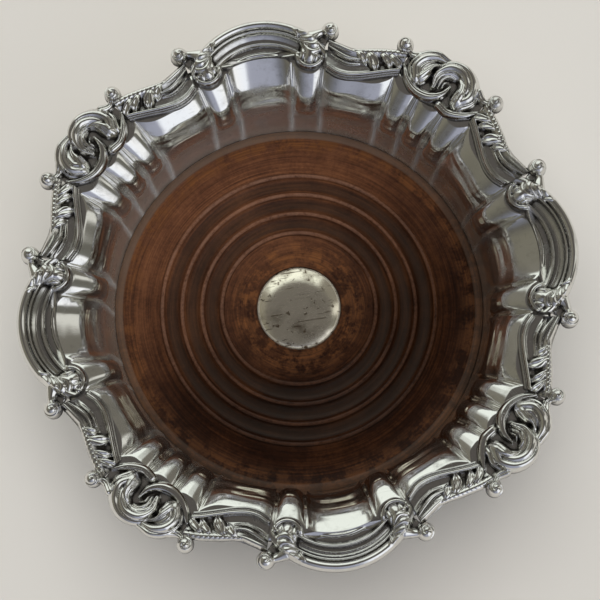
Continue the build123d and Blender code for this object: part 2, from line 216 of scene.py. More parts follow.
edge_wear = calc("MULTIPLY_ADD", stains, 0.8, 0.35)
on_edge = calc("MULTIPLY", rise(radius, bead_foot + 0.1, bead_foot + 0.7), edge_wear)
colour = mix(calc("MULTIPLY", on_edge, edge_sun), colour, edge_grey)
links.new(colour, shader.inputs["Base Color"])
links.new(calc("MULTIPLY_ADD", specks, 0.3, 0.26), shader.inputs["Roughness"])
bump(nodes, links, calc("ADD", pores, tool_lines), shader, 0.00010, 0.5)
shader.inputs["Specular IOR Level"].default_value = 0.15
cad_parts["turned_base"].data.materials[0] = mahogany


# Boss: a small domed disc of silver plate let into the middle of the base. It
# is bare, with fine scratches every way, a soft bloom with a dark patch towards
# the near side, painted shade that deepens the bloom towards the near side, and
# a dull rounded rim, and a brass stud, washer and nut under the base draw it down.
def silver_wear_group():
    """Rubbed silver: dark bloom in hollows and painted shade where a piece paints it, patches and pits, dull
    where it is rubbed, and fine scratches.
    """
    group = bpy.data.node_groups.new("silver_wear", "ShaderNodeTree")
    for way, kind, names in (
            ("INPUT", "NodeSocketColor", ("Silver", "Tarnish")),
            ("INPUT", "NodeSocketFloat", ("Hollow", "Patch Amount", "Pits", "Polish", "Dullness", "Rubbed")),
            ("OUTPUT", "NodeSocketColor", ("Colour",)),
            ("OUTPUT", "NodeSocketFloat", ("Roughness", "Bareness", "Scratches"))):
        for name in names:
            group.interface.new_socket(name, in_out=way, socket_type=kind)
    nodes, links = group.nodes, group.links
    given = nodes.new("NodeGroupInput").outputs
    result = nodes.new("NodeGroupOutput").inputs

    calc = partial(calculate, nodes, links)
    rise = partial(soft_step, nodes, links)
    spots = partial(noise, nodes, links)
    point = partial(object_point, nodes, links)
    clouds = spots(point(), 120, 5, 0.6)
    specks = spots(point(), 1300, 3, 0.6)
    rubs = spots(point((3, 0.2, 0.6), (0.4, 0.3, 0.9)), 1500, 2, 0.5)
    cross_rubs = spots(point((0.2, 3, 0.6), (0.2, 0.5, 0.3)), 1300, 2, 0.5)
    dents = rise(spots(point(), 480, 3, 0.6), 0.6, 0.68)
    nicks = rise(spots(point((0.06, 1.4, 1), (0, 0, 0.5)), 900, 2, 0.5), 0.62, 0.7)
    pits = calc("MAXIMUM", dents, nicks)
    patches = calc("MAXIMUM", calc("SUBTRACT", clouds, 0.5), 0)
    patches = calc("MULTIPLY", calc("SMOOTH_MIN", patches, 0.2, 0.1), 4)
    # Darkening from the bloom and shade input: real bloom in hollows, and painted shade where a piece paints
    # it.
    grime = calc("MULTIPLY_ADD", calc("SUBTRACT", specks, 0.5), 0.9, given["Hollow"])
    grime = calc("MULTIPLY", calc("MAXIMUM", calc("MINIMUM", grime, 1), 0), given["Hollow"])
    dark = calc("MULTIPLY_ADD", pits, given["Pits"], grime)
    dark = calc("MINIMUM", calc("MULTIPLY_ADD", patches, given["Patch Amount"], dark), 0.96)
    links.new(blend(nodes, links, dark, given["Silver"], given["Tarnish"]), result["Colour"])
    dull = calc("MULTIPLY_ADD", calc("MAXIMUM", dark, patches), given["Dullness"], given["Polish"])
    links.new(calc("MULTIPLY_ADD", given["Rubbed"], 0.45, dull), result["Roughness"])
    links.new(calc("MULTIPLY_ADD", given["Rubbed"], -0.35, 1), result["Bareness"])
    links.new(calc("ADD", rubs, cross_rubs), result["Scratches"])
    return group


silver_wear = silver_wear_group()


def silver_material(name, silver, tarnish, patch_amount, pits, polish, dullness, scratch):
    """Silver plate with its own bloom and polish; a piece's attributes give its bloom in hollows, any painted
    shade, and its rubbed places.
    """
    material, nodes, links, shader = new_material(name)
    wear = nodes.new("ShaderNodeGroup")
    wear.node_tree = silver_wear
    wear.inputs["Silver"].default_value = (*silver, 1)
    wear.inputs["Tarnish"].default_value = (*tarnish, 1)
    wear.inputs["Patch Amount"].default_value = patch_amount
    wear.inputs["Pits"].default_value = pits
    wear.inputs["Polish"].default_value = polish
    wear.inputs["Dullness"].default_value = dullness
    for place in ("Hollow", "Rubbed"):
        attribute = nodes.new("ShaderNodeAttribute")
        attribute.attribute_name = place.lower()
        links.new(attribute.outputs["Fac"], wear.inputs[place])
    links.new(wear.outputs["Colour"], shader.inputs["Base Color"])
    links.new(wear.outputs["Roughness"], shader.inputs["Roughness"])
    links.new(wear.outputs["Bareness"], shader.inputs["Metallic"])
    bump(nodes, links, wear.outputs["Scratches"], shader, 0.00002, scratch)
    return material


def set_mesh_points(mesh, points):
    """Put the points of a mesh where an array says."""
    mesh.vertices.foreach_set("co", np.ascontiguousarray(points, float).ravel())
    mesh.update()


def ring_skin(name, radii, heights, turns, sharp_angle, **masks):
    """A closed skin through rings of points, made from a grid; each mask becomes a point attribute."""
    rows, columns = radii.shape
    bpy.ops.object.select_all(action="DESELECT")
    bpy.ops.mesh.primitive_grid_add(x_subdivisions=columns - 1, y_subdivisions=rows - 1, size=1)
    piece = bpy.context.object
    piece.name = name
    points = np.stack([radii * np.cos(turns), radii * np.sin(turns), heights], -1)
    set_mesh_points(piece.data, points.reshape(-1, 3) * mm)
    for mask, values in masks.items():
        piece.data.attributes.new(mask, "FLOAT", "POINT").data.foreach_set("value", values.ravel())
    bpy.ops.object.mode_set(mode="EDIT")
    bpy.ops.mesh.select_all(action="SELECT")
    bpy.ops.mesh.remove_doubles(threshold=0.000002)
    bpy.ops.mesh.normals_make_consistent(inside=False)
    bpy.ops.object.mode_set(mode="OBJECT")
    bpy.ops.object.shade_smooth_by_angle(angle=radians(sharp_angle))
    return piece


boss_radius, boss_seat, boss_edge, boss_dome = 14.1, 8.4, 1.0, 2.0
rim_drop, rim_start, rim_rub_start, rim_share = 0.6, 0.95, 0.93, 0.05
# A dark patch on the dome towards the near side: where it lies, how deep and how wide.
stain_x, stain_y, stain_depth, stain_spread = -0.5, -7, 0.68, 8
# Painted shade: the bloom is painted deeper towards the near side of the dome.
bloom_depth, bloom_lean = 0.12, 0.01
boss_turns = 192

shares = np.concatenate((np.linspace(0, 0.9, 46), np.linspace(0.92, 1, 9)))
over_rim = np.clip((shares - rim_start) / rim_share, 0, 1)
dome = boss_edge + boss_dome * (1 - shares**3) - rim_drop * over_rim**2
turns = np.linspace(0, 2 * pi, boss_turns + 1)
radii = np.outer(boss_radius * np.append(shares, (1, 0)), np.ones_like(turns))
heights = np.outer(boss_seat + np.append(dome, (0, 0)), np.ones_like(turns))
on_rim = np.append(np.clip((shares - rim_rub_start) / rim_share, 0, 1), (1, 0))[:, None]
boss_x, boss_y = radii * np.cos(turns), radii * np.sin(turns)
stray = np.sin(0.9 * boss_y + 0.6) + 0.6 * np.sin(2.1 * boss_y - 0.8 * boss_x)
stain = np.exp(-((boss_x - stain_x + stray)**2 + (boss_y - stain_y)**2 / 2) / stain_spread)
# Bloom, with painted shade that deepens it towards the near side, and the dark patch.
bloom = bloom_depth - bloom_lean * boss_y + stain_depth * stain
boss = ring_skin("boss_disc", radii, heights, turns, 50,
                 hollow=bloom * (1 - on_rim), rubbed=0.15 + 0.85 * on_rim * np.ones_like(turns))
boss.data.materials.append(silver_material(
    "boss_silver", silver=(0.93, 0.87, 0.73), tarnish=(0.10, 0.06, 0.028),
    patch_amount=0.9, pits=0.7, polish=0.06, dullness=0.3, scratch=0.35))
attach(boss, "root")
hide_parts("centre_boss")


# Stud, washer and nut: plain yellow brass, turned and stamped, hidden in a
# pocket under the base. The stud is soldered to the boss, and the nut draws
# it down on the washer.
def grey(level):
    """A grey colour of one level."""
    return level, level, level


brass, nodes, links, shader = new_material("brass")
streaks = noise(nodes, links, object_point(nodes, links, (1, 1, 6)), 900, 4, 0.6)
tone = ramp(nodes, links, streaks, ((0.3, (0.36, 0.22, 0.07)), (0.75, (0.62, 0.43, 0.17))))
links.new(tone, shader.inputs["Base Color"])
links.new(ramp(nodes, links, streaks, ((0.2, grey(0.45)), (0.8, grey(0.25)))), shader.inputs["Roughness"])
bump(nodes, links, streaks, shader, 0.00003, 0.4)
shader.inputs["Metallic"].default_value = 1
for name in ("boss_stem", "stem_washer", "stem_nut"):
    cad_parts[name].data.materials[0] = brass


# Fluted wall: one sheet of silver plate, turned in under the wood as a flange
# and raised in flutes between ridges, most with a rounded rib, and dull on the
# outside. It flares to a flat lip that carries the rim sections.
def bend(share, start, end, start_slope, end_slope):
    """Values on a smooth bend between two ends with given slopes."""
    return ((2 * share**3 - 3 * share**2 + 1) * start + (share**3 - 2 * share**2 + share) * start_slope
            + (3 * share**2 - 2 * share**3) * end + (share**3 - share**2) * end_slope)


def smooth_line(points, count=160):
    """Evenly spaced points on a smooth line through a few points."""
    points = np.array(points, float)
    knots = np.concatenate(([0], np.cumsum(np.hypot(*np.diff(points, axis=0).T))))
    slopes = np.gradient(points, knots, axis=0)
    places = np.linspace(0, knots[-1], count)
    i = np.clip(np.searchsorted(knots, places) - 1, 0, len(knots) - 2)
    span = (knots[i + 1] - knots[i])[:, None]
    share = (places - knots[i])[:, None] / span
    return bend(share, points[i], points[i + 1], span * slopes[i], span * slopes[i + 1])


def climbed(height, low, high):
    """Soft share of the way up from a low height to a high one."""
    share = np.clip((height - low) / (high - low), 0, 1)
    return share**2 * (3 - 2 * share)


lip = 43.0
flange_bottom, flange_top = 1.2, 2.2
flange_radius, wall_radius, sheet = 53.9, 62.1, 1.0
arch_centre, arch_radius = 62.7, 26.8
rosette_centre, rosette_radius = 81.5, 8.2
seat_radius, seat_inset = 81.5, 1.6
ridge_angles = (7.8, 16.5, 33.5, 41.2)
ridge_lips = (74.6, 73.2, 75.8, 74.2)
flute_lips = (77.1, 71.0, 78.2, 77.4, 78.2, 71.0, 77.1, 78.1)
flute_depths = (2.2, 0.6, 2.2, 2.2, 2.2, 0.6, 2.2, 0.6)
rib_heights = (5.4, 0, 4.8, 5, 4.8, 0, 5.4, 0)
flare_heights = (0, 0.08, 0.2, 0.3, 0.45, 0.6, 0.675, 0.735, 0.833, 0.893, 0.95, 1)
flare_radii = (62.1, 62.1, 62.12, 62.5, 62.9, 63.9, 65.2, 67, 69.8, 72.3, 75.2, 78.2)
flute_foot, flute_crest, rib_foot, rib_crest = 0.19, 0.55, 0.3, 0.8
bead_height, bead_width = 0.5, 0.8
dent_depth, ripple_depth = 0.05, 0.018
inset_share = 0.3
haze_turn, haze_mean, haze_swing = radians(115), 0.2, 0.26
ridge_rub, ridge_rub_width, outside_dullness = 2.2, 0.9, 0.55
wall_rings, steps_per_flute = 82, 24

quarter_angles = ridge_angles + tuple(90 - angle for angle in ridge_angles[::-1])
quarter_lips = ridge_lips + ridge_lips[::-1]
ridges = [(angle + 90 * k, radius) for k in range(4) for angle, radius in zip(quarter_angles, quarter_lips)]
columns = []
for i, (angle, ridge) in enumerate(ridges):
    after, next_ridge = ridges[(i + 1) % len(ridges)]
    after += 360 if i == len(ridges) - 1 else 0
    flute_lip, depth, rib = flute_lips[i % 8], flute_depths[i % 8], rib_heights[i % 8]
    for step in range(steps_per_flute):
        across = -np.cos(pi * step / steps_per_flute)
        share = (1 + across) / 2
        off = radians(after - angle) * min(share, 1 - share) * wall_radius
        columns.append((angle + (after - angle) * share, ridge + (next_ridge - ridge) * share, flute_lip,
                        depth, rib, (ridge + next_ridge) / 2, across, off))
angles, ridge_line, flute_line, depths, ribs, ridge_means, across, off_ridge = np.array(columns).T
angles = np.radians(angles)
lip_line = ridge_line + (flute_line - ridge_means) * (1 - across**4)
bead = bead_height * np.exp(-(off_ridge / bead_width)**2)
flare = smooth_line(list(zip(np.multiply(flare_heights, lip), flare_radii)), 400) / (lip, 1)
inset = inset_share * (flare_radii[-1] - lip_line)
lip_drop = 1 - np.interp(lip_line + inset, flare[:, 1], flare[:, 0])


def seat_line(angle):
    """Radius of the flat lip's outer edge: a disc with a lobe under each arch and each rosette."""
    edge = np.full_like(angle, seat_radius - seat_inset)
    for turn, centre, reach in ((0, arch_centre, arch_radius), (45, rosette_centre, rosette_radius)):
        for k in range(4):
            off = angle - radians(turn + 90 * k)
            inside = (reach - seat_inset)**2 - (centre * np.sin(off))**2
            lobe = centre * np.cos(off) + np.sqrt(np.maximum(inside, 0))
            edge = np.maximum(edge, np.where((inside > 0) & (np.cos(off) > 0), lobe, 0))
    return edge


def wall_face(bottom, thickness):
    """Rings of (radius, height) from the foot of the wall to its lip: flutes, ribs, small dents and beads."""
    rings = []
    for height in np.linspace(0, 1, wall_rings):
        radius = np.interp(height - lip_drop, *flare.T) - inset * climbed(height, 0.4, 0.85)
        bulge = climbed(height, flute_foot, flute_crest) * (1 - climbed(height, flute_crest, 1))
        radius += depths * (1 - across**4) * bulge
        rib_width = 0.74 + 0.14 * climbed(height, 0.2, 0.6)
        rib_section = np.clip(1 - np.abs(across / rib_width)**3, 0, 1)**0.8
        radius -= ribs * climbed(height, rib_foot, rib_crest) * rib_section
        radius += dent_depth * np.sin(9 * angles + 30 * height) * np.sin(17 * angles - 11 * height) * height
        ripples = np.sin(75 * height + 4 * np.sin(5 * angles))
        ripples += np.sin(118 * height + 3 * np.sin(7 * angles + 1))
        radius += ripple_depth * ripples * climbed(height, 0.4, 0.6)
        bead_share = climbed(height, flute_foot, 0.5) * (1 - 0.8 * climbed(height, flute_crest, 0.85))
        radius = np.maximum(radius, wall_radius) - bead * bead_share
        radius += thickness * (1 + 0.8 * height**6)
        rings.append((radius, np.full_like(radius, bottom + (lip - bottom) * height)))
    return rings


level = np.ones_like(angles)
seat = seat_line(angles)
lip_bottom = lip - sheet
inside, outside = wall_face(flange_top, 0), wall_face(flange_bottom, sheet)
outside = [ring for ring in outside[::3] if ring[1][0] < lip_bottom - 0.2]
lip_start, under_lip = inside[-1][0], outside[-1][0] + sheet
rings = [(flange_radius * level, flange_bottom * level), (flange_radius * level, flange_top * level)]
rings += inside
rings += [(lip_start + (seat - lip_start) * share, lip * level) for share in (0.05, 0.5, 0.97)]
rings += [(seat, (lip - 0.25) * level), (seat, (lip - 0.8) * level), (seat - 0.25, lip_bottom * level)]
rings += [((under_lip + seat - 0.3) / 2, lip_bottom * level), (under_lip, (lip_bottom - 0.05) * level)]
rings += outside[::-1]
rings += [(flange_radius * level, flange_bottom * level)]
radii, heights = (np.array(rows) for rows in zip(*rings))
radii, heights = (np.concatenate((rows, rows[:, :1]), 1) for rows in (radii, heights))
turns = np.append(angles, angles[0] + 2 * pi)

haze = np.maximum(haze_mean + haze_swing * np.cos(turns - haze_turn), 0)
haze = haze * (1 - climbed((heights - flange_top) / (lip - flange_top), 0.45, 0.9))
near_ridge = np.exp(-(np.append(off_ridge, off_ridge[0]) / ridge_rub_width)**2)
rubbed = haze * (1 + ridge_rub * near_ridge)
rubbed[-len(outside) - 1:] += outside_dullness
wall = ring_skin("fluted_sheet", radii, heights, turns, 60, rubbed=rubbed)
wall.data.materials.append(silver_material(
    "wall_silver", silver=(0.80, 0.79, 0.76), tarnish=(0.10, 0.08, 0.06),
    patch_amount=0.25, pits=0.08, polish=0.1, dullness=0.25, scratch=0.16))
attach(wall, "root")
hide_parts("fluted_wall")


# Nails: eight cut iron nails with sunk heads, driven up through the flange
# into the wood before the baize is glued on. They are dull and a little rusty.
iron, nodes, links, shader = new_material("iron")
rust = noise(nodes, links, object_point(nodes, links), 2200, 5, 0.65)
tone = ramp(nodes, links, rust, ((0.35, (0.10, 0.095, 0.09)), (0.7, (0.16, 0.085, 0.045))))
links.new(tone, shader.inputs["Base Color"])
links.new(ramp(nodes, links, rust, ((0.3, grey(0.4)), (0.75, grey(0.85)))), shader.inputs["Roughness"])
bump(nodes, links, rust, shader, 0.00006, 0.7)
shader.inputs["Metallic"].default_value = 0.7
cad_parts["wall_nails"].data.materials[0] = iron


# Foot wire: a half-round silver wire soldered round the foot of the wall,
# bright and scratched, with a soft dark bloom.
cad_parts["foot_wire"].data.materials[0] = silver_material(
    "foot_silver", silver=(0.76, 0.75, 0.72), tarnish=(0.10, 0.08, 0.06),
    patch_amount=0.4, pits=0.2, polish=0.14, dullness=0.3, scratch=0.3)


# Reeded arches: four sections of rim, struck in silver from a steel die and
# filled with solder. Each has rounded reeds round a deep cove, a leaf-wrapped
# scroll at each end, and two small buds on stems that stand clear outside.
def follow(plan, points):
    """For each plan point: distance along a smooth line, to its left and past its ends; and its length."""
    line = smooth_line(points)
    tangents = np.gradient(line, axis=0)
    tangents /= np.hypot(*tangents.T)[:, None]
    reach = np.concatenate(([0], np.cumsum(np.hypot(*np.diff(line, axis=0).T))))
    portions = np.array_split(plan, len(plan) // 8192 + 1)
    nearest = np.concatenate([((part[:, None] - line[None])**2).sum(2).argmin(1) for part in portions])
    offset, tangent = plan - line[nearest], tangents[nearest]
    along = reach[nearest] + (offset * tangent).sum(1)
    side = tangent[:, 0] * offset[:, 1] - tangent[:, 1] * offset[:, 0]
    past = np.maximum(np.maximum(-along, along - reach[-1]), 0)
    return np.clip(along, 0, reach[-1]), side, past, reach[-1]


def swept(share, values):
    """Values that change smoothly along a line, from a few at even steps."""
    values = np.array(values, float)
    last = len(values) - 1
    if last < 2:
        return np.interp(share, np.linspace(0, 1, last + 1), values)
    i = np.clip((share * last).astype(int), 0, last - 1)
    slopes = np.gradient(values)
    return bend(share * last - i, values[i], values[i + 1], slopes[i], slopes[i + 1])


def strand(plan, points, widths, heights, edge=0.25, reeds=0, reed_depth=0.6, twist=0.0,
           scales=0.0, scale_depth=0.8, scale_bow=0.6, scale_start=0.0, vein=0.0, cup=0.0):
    """A rounded strand along a line, reeded, scaled, veined or cupped: (height, distance outside it)."""
    along, side, past, length = follow(plan, points)
    share = along / length
    width = swept(share, widths)
    crown = swept(share, heights)
    across = np.hypot(side, past) / width
    lean = np.clip(side / width, -1, 1)
    height = crown * (edge + (1 - edge) * np.sqrt(np.clip(1 - across**2, 0, 1)))
    fade = np.clip((1 - across) * 6, 0, 1)
    if reeds:
        phase = reeds * (lean + 1) / 2 + twist * share
        height -= reed_depth * fade * (1 - np.abs(np.sin(pi * phase))**0.7)
    if scales:
        phase = (along - scale_bow * width * (1 - lean**2)) / scales
        started = np.clip((share - scale_start) * 6, 0, 1)
        height -= scale_depth * (1 - np.abs(np.sin(pi * phase))**0.6) * started
    if vein:
        height -= vein * np.exp(-(side / 0.3)**2) * fade
    if cup:
        height -= cup * np.clip(1 - (across / 0.7)**2, 0, 1) * np.clip(2 - 2.5 * share, 0, 1)
    outside = (across - 1) * width
    return np.where(outside < 0, height, crown * edge * np.clip(1 - outside * 2, 0, 1)), outside


def bud(plan, centre, radius, height, hand, start):
    """A round bud with one spiral groove: (height, distance outside it)."""
    offset = plan - centre
    away = np.hypot(*offset.T) / radius
    turn = hand * np.arctan2(offset[:, 1], offset[:, 0]) / (2 * pi) + start + 1.35 * away
    groove = np.exp(-((((turn + 0.5) % 1) - 0.5) / 0.09)**2)
    groove *= np.clip(away * 3, 0, 1) * np.clip((1 - away) * 5, 0, 1)
    dome = height * (0.25 + 0.75 * np.sqrt(np.clip(1 - away**2, 0, 1))) - 0.7 * groove
    return np.where(away < 1, dome, 0), (away - 1) * radius


def merge(forms, softness=0.12):
    """One relief from several forms: the highest of them at each point, and the nearest outline."""
    height, outside = forms[0]
    for other, other_outside in forms[1:]:
        share = np.clip(0.5 + 0.5 * (height - other) / softness, 0, 1)
        height = other + (height - other) * share + softness * share * (1 - share)
        outside = np.minimum(outside, other_outside)
    return height, outside


def hump(distance, middle, half_width, height):
    """The rounded height of a reed at a distance across it."""
    return height * np.sqrt(np.clip(1 - ((distance - middle) / half_width)**2, 0, 1))


cove_centre, cove_half_width = 60.9, 10.2
arch_half_angle, arch_degree = 16.75, 1.4
scroll_u, scroll_v, scroll_radius, scroll_top = 17, 75.2, 5.05, 79


def arch_relief(plan):
    """An arch with its middle on the plan's second axis: (height, distance outside)."""
    u, v = np.abs(plan[:, 0]), plan[:, 1]
    half = np.stack((u, v), 1)
    outer, inner = np.hypot(v - arch_centre, u), np.hypot(v - cove_centre, u)
    low_edge = np.where(u < cove_half_width, 77.1 - 0.018 * u**2, 75.2 + 0.22 * (u - cove_half_width))
    sector_edge = (np.degrees(np.arctan2(u, v)) - arch_half_angle) * arch_degree
    edge = np.maximum(np.maximum(outer - arch_radius, low_edge - v), sector_edge)
    ground = np.interp(arch_radius - outer, (0, 3.4, 4.8, 6.2), (1, 1.7, 1.5, 0.6))
    reeds = hump(outer, 25.1, 1.7, 3.1) + hump(outer, 22.8, 0.6, 1.9)
    threads = hump(inner, 20.5, 0.65, 1.9) + hump(inner, 17.3, 0.7, 0.8)

    below = np.hypot(u - scroll_u, np.minimum(v - scroll_v, 0))
    crescents = hump(below, 4.2, 0.8, 1.4) * np.clip((77.5 - v) / 2.5, 0, 1)
    scroll = (2 + crescents) * np.clip((scroll_top - v) / 3, 0, 1)
    legs = [
        strand(half, ((12, 86.8), (15.2, 84.6), (17.7, 81.2), (18.3, 78), (17, 74.9)),
               (1.2, 2.6, 3.4, 3.7, 3.4), (4.4, 5.1, 5.5, 5.6, 5.1), edge=0.35,
               scales=2.5, scale_depth=1, scale_bow=0.9, scale_start=0.25),
        (scroll, np.maximum(below - scroll_radius, v - scroll_top)),
        strand(half, ((11.4, 86), (13.2, 83.8), (14, 81.6)), (0.3, 1, 0.6), (4, 5, 4.4), cup=0.5),
    ]
    rounding = np.sqrt(np.clip((arch_radius - outer) / 1.5, 0, 1))
    web, web_outside = strand(half, ((18.6, 78.4), (21.2, 80), (23.4, 81.2)),
                              (3, 2.8, 2), (2.1, 2, 1.9), edge=0.8)

    forms = [(ground + reeds + threads, edge)]
    forms += [(height * rounding, np.maximum(outside, outer - arch_radius)) for height, outside in legs]
    forms += [
        strand(half, ((18.6, 80.8), (21, 81.6), (23.4, 81.9)), (2.2, 1.5, 1.2), (4.2, 3.6, 3.4), edge=0.45),
        (web, np.maximum(web_outside, sector_edge)),
        bud(half, (24.85, 81.81), 2.9, 5.7, -1, 0.1),
    ]
    return merge(forms)


def soften(rows, reach):
    """Heights of a grid averaged over a neighbourhood."""
    for axis in (0, 1):
        for _ in range(2):
            rows = np.moveaxis(rows, axis, 0)
            padded = np.concatenate((rows[:1].repeat(reach + 1, 0), rows, rows[-1:].repeat(reach, 0)))
            total = np.cumsum(padded, 0)
            rows = np.moveaxis((total[2 * reach + 1:] - total[:-2 * reach - 1]) / (2 * reach + 1), 0, axis)
    return rows


def mesh_points(mesh):
    """The points of a mesh as an array."""
    points = np.empty(len(mesh.vertices) * 3)
    mesh.vertices.foreach_get("co", points)
    return points.reshape(-1, 3)


hollow_reach, hollow_depth = 0.8, 0.7
# A thin dark outline along each section's edge, a painted shade: how dark and how wide.
edge_grime, edge_grime_width = 0.85, 0.3
least_height = 0.3


def strike(name, relief, low, high, pitch=0.2):
    """A solid section of rim: a fine sheet raised by a relief, trimmed and closed at the seat."""
    low, size = np.array(low), np.subtract(high, low)
    counts = [int(side / pitch) for side in size]
    bpy.ops.object.select_all(action="DESELECT")
    bpy.ops.mesh.primitive_grid_add(x_subdivisions=counts[0], y_subdivisions=counts[1], size=1)
    section = bpy.context.object
    section.name = name
    mesh = section.data
    grid = (counts[1] + 1, counts[0] + 1)
    plan = (mesh_points(mesh)[:, :2] + 0.5) * size + low
    height, outside = relief(plan)
    rows = height.reshape(grid)
    # Bloom in the relief's hollows, and along the section's edge a thin dark outline of painted shade.
    hollow = np.clip((soften(rows, int(hollow_reach / pitch)) - rows) / hollow_depth, 0, 1).ravel()
    hollow = np.maximum(hollow, edge_grime * np.exp(np.minimum(outside, 0) / edge_grime_width))

    slope = np.stack(np.gradient(outside.reshape(grid), pitch)[::-1], -1).reshape(-1, 2)
    steep = np.maximum((slope**2).sum(1), 0.2)
    loose = (outside > 0) & (outside < 3 * pitch)
    plan[loose] -= (slope * (outside / steep)[:, None])[loose]
    height[loose] = relief(plan[loose])[0]
    set_mesh_points(mesh, np.column_stack((plan, lip + np.maximum(height, least_height))) * mm)
    mesh.attributes.new("hollow", "FLOAT", "POINT").data.foreach_set("value", hollow)

    corners = np.empty(len(mesh.polygons) * 4, int)
    mesh.polygons.foreach_get("vertices", corners)
    waste = (outside[corners.reshape(-1, 4)] > 0).all(1)
    bpy.ops.object.mode_set(mode="EDIT")
    bpy.ops.mesh.select_mode(type="FACE")
    bpy.ops.mesh.select_all(action="DESELECT")
    bpy.ops.object.mode_set(mode="OBJECT")
    mesh.polygons.foreach_set("select", waste)
    bpy.ops.object.mode_set(mode="EDIT")
    bpy.ops.mesh.delete(type="FACE")
    bpy.ops.mesh.select_mode(type="EDGE")
    bpy.ops.mesh.select_non_manifold(
        extend=False, use_wire=False, use_boundary=True, use_multi_face=False,
        use_non_contiguous=False, use_verts=False)
    bpy.ops.mesh.mark_sharp()
    bpy.ops.mesh.extrude_edges_move()
    bpy.ops.transform.resize(value=(1, 1, 0), center_override=(0, 0, lip * mm))
    bpy.ops.mesh.mark_sharp()
    bpy.ops.mesh.fill(use_beauty=False)
    bpy.ops.mesh.select_all(action="SELECT")
    bpy.ops.mesh.normals_make_consistent(inside=False)
    bpy.ops.object.mode_set(mode="OBJECT")
    bpy.ops.object.shade_smooth()
    return section


rim_silver = silver_material(
    "mount_silver", silver=(0.78, 0.77, 0.74), tarnish=(0.028, 0.022, 0.017),
    patch_amount=0.2, pits=0.1, polish=0.1, dullness=0.3, scratch=0.12)


def set_round(section, node, places):
    """Copies of a section round the rim, each (degrees from +X, mirrored or not), in place of CAD nodes."""
    section.data.materials.append(rim_silver)
    for i, (angle, mirrored) in enumerate(places, 1):
        piece = section if i == len(places) else section.copy()
        piece.data = section.data.copy()
        if mirrored:
            piece.data.transform(Matrix.Diagonal((-1, 1, 1, 1)))
            piece.data.flip_normals()
        piece.data.transform(Matrix.Rotation(radians(angle - 90), 4, "Z"))
        piece.name = f"{node}_struck_{i}"
        if piece is not section:
            bpy.context.scene.collection.objects.link(piece)
        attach(piece, "root")
        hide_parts(f"{node}_{i}")


set_round(strike("arch", arch_relief, (-28.2, 67.2), (28.2, 90)), "arch_mount",
          [(90 * k, False) for k in range(4)])


# Leaf scrolls: eight struck sections between the arches and the rosettes,
# four of each hand. A double thread runs along the inner edge, and a stem of
# reeds breaks into four leaning petals over a dark ground.
leaf_ends, leaf_degree = (-8.95, 8.9), 1.35
leaf_places = ((25.75, False), (64.25, True))
thread = smooth_line((
    (-13.6, 78.4), (-10, 77.2), (-5, 75.1), (0, 73), (4, 71.9), (8, 72), (12.5, 73.9), (14, 74.8)))
border = smooth_line((
    (-14.5, 84.9), (-10, 84.2), (-5, 83.1), (0, 81.9), (4, 81.3), (8, 81.6), (14.5, 82.8)))
petals = (
    ((-13.2, 77.9), (-11.2, 79.5), (-8, 81.8), 1.3), ((-9.4, 77.5), (-7.6, 79.6), (-5, 81.4), 1.3),
    ((-4.8, 75.4), (-3.4, 78.1), (-0.8, 80.6), 1.8), ((-1, 76.8), (0.3, 78.5), (2.6, 79.9), 1.3))


def leaf_relief(plan):
    """A leaf scroll whose arch end points along the plan's first axis: (height, distance outside)."""
    u, v = plan.T
    inner, outer = np.interp(u, *thread.T), np.interp(u, *border.T)
    share = (v - inner) / (outer - inner)
    ground = np.interp(share, (0, 0.15, 0.35, 0.62, 0.8, 1), (1.2, 0.9, 0.8, 1.8, 2.7, 0.9))
    angle = np.degrees(np.arctan2(u, v))
    ends = np.maximum(angle - leaf_ends[1], leaf_ends[0] - angle) * leaf_degree
    forms = [(ground, np.maximum(np.maximum(inner - 1.5 - v, v - outer) * 0.95, ends))]
    forms += [
        strand(plan, thread[::20], (0.75,), (2.6,)),
        strand(plan, thread[::20] - (0, 1.3), (0.4,), (1.5,)),
        strand(plan, ((-14, 83.4), (-9, 82.9), (-4, 81.8), (0.5, 80.7), (4.5, 80.1)),
               (1.2, 1.5, 1.5, 1.3, 0.6), (3.2, 3.3, 3.3, 3.2, 2.8),
               scales=1.5, scale_depth=0.22, scale_bow=1),
        strand(plan, ((14.6, 81.3), (9, 80.2), (4, 79.6), (1.4, 79.8)),
               (0.7, 1, 1, 0.4), (3, 3.3, 3.2, 2.6)),
        strand(plan, ((14.2, 80.2), (9.5, 78.3), (5, 77.2), (0.8, 77.9)),
               (0.4, 0.75, 0.85, 0.3), (2.6, 3.2, 3.3, 2.6)),
        strand(plan, ((11.5, 77.4), (8, 76.2), (4.5, 75.7), (1.2, 76.6)),
               (0.2, 0.4, 0.45, 0.2), (1.3, 2, 2.1, 1.6)),
    ]
    for tip, middle, root, width in petals:
        forms.append(strand(plan, (tip, middle, root), (0.2, 0.8 * width, width, 0.9 * width, 0.5 * width),
                            (2, 3.4, 3.7, 3.6, 3.2), edge=0.5, vein=0.3, cup=0.7))
    height, outside = merge(forms)
    return height, np.maximum(outside, ends)


set_round(strike("leaf", leaf_relief, (-14.2, 69.4), (14.2, 85.6)), "leaf_mount",
          [(angle + 90 * k, mirrored) for k in range(4) for angle, mirrored in leaf_places])


# Shell rosettes: four struck sections on the diagonals, all of one hand. Two
# reeded shells curl one over the other above two threads that hook, with a
# bud on a stem at each side.
rosette_half_width = 14.6


